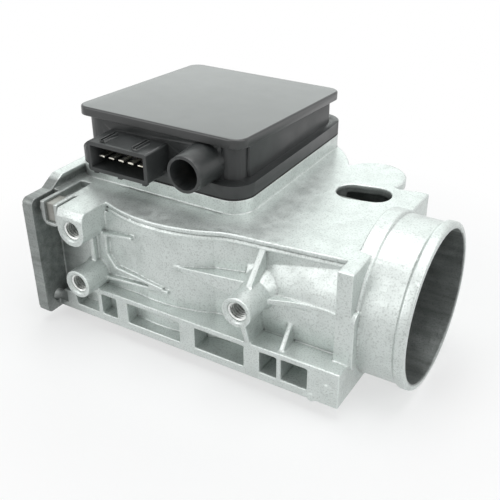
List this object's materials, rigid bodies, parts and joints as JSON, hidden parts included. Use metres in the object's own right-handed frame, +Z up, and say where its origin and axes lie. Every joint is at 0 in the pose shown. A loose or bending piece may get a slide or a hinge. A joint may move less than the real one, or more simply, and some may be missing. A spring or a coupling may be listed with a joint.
{
  "type": "mass airflow sensor, vane type",
  "caption": "Vane type air flow meter with a cast aluminium body, rectangular bolted inlet, round hose outlet, threaded bosses and a black sensor housing with a blade socket.",
  "frame": {"origin": "centre of the inlet flange's four bolt holes, on the flange's outer face", "axes": "+X along the outlet's axis in the direction of the air flow, +Y to the rear, away from the three threaded bosses, +Z up, towards the lid"},
  "size_m": [0.1648, 0.1328, 0.093],
  "materials": {
    "cast_aluminium": "as cast, grainy",
    "flap_aluminium": "as cast, machined edges",
    "black_plastic": "moulded, fine grain",
    "lid_plastic": "moulded, satin",
    "natural_plastic": "moulded",
    "gasket_rubber": "matt",
    "stop_rubber": "matt",
    "zinc_steel": "zinc plated",
    "cover_steel": "pressed sheet",
    "ground_steel": "ground",
    "spring_steel": "blued",
    "bronze": "sintered",
    "contact_brass": "tinned",
    "sensor_plastic": "moulded",
    "board_ceramic": "printed"
  },
  "bodies": {
    "housing": {"main_casting": "cast_aluminium", "bottom_cover": "cover_steel", "bottom_cover_screws": "zinc_steel", "upper_bearing": "bronze", "lower_bearing": "bronze", "flap_stop": "stop_rubber", "air_temperature_sensor": "sensor_plastic", "flange_nuts": "zinc_steel", "housing_gasket": "gasket_rubber", "control_housing": "black_plastic", "housing_screws": "zinc_steel", "lid": "lid_plastic", "terminal_blades": "contact_brass", "contact_strips": "contact_brass", "resistor_board": "board_ceramic", "board_screws": "zinc_steel", "tension_wheel": "natural_plastic", "wheel_clip": "spring_steel", "clip_screw": "zinc_steel", "return_spring": "spring_steel", "trimmer_body": "sensor_plastic"},
    "flap": {"flap_casting": "flap_aluminium", "spindle": "ground_steel", "flap_grub_screws": "zinc_steel", "wiper_hub": "natural_plastic", "wiper_arm": "contact_brass", "wiper_contact": "contact_brass", "counterweight": "bronze", "spindle_ring": "spring_steel"},
    "trimmer": {"trimmer_screw": "contact_brass"}
  },
  "joints": [
    {"name": "flap_swing", "type": "hinge", "parent": "housing", "child": "flap", "pos_m": [0.058, 0.026, 0], "axis": [0, 0, 1], "range_deg": [0, 72], "stiffness_Nm_per_rad": 0.02, "springref_deg": -51.57, "deforming": ["return_spring"]},
    {"name": "trimmer_turn", "type": "hinge", "parent": "housing", "child": "trimmer", "pos_m": [0.0697, -0.018, 0.0461], "axis": [0, -1, 0], "range_deg": [-135, 135]}
  ]
}
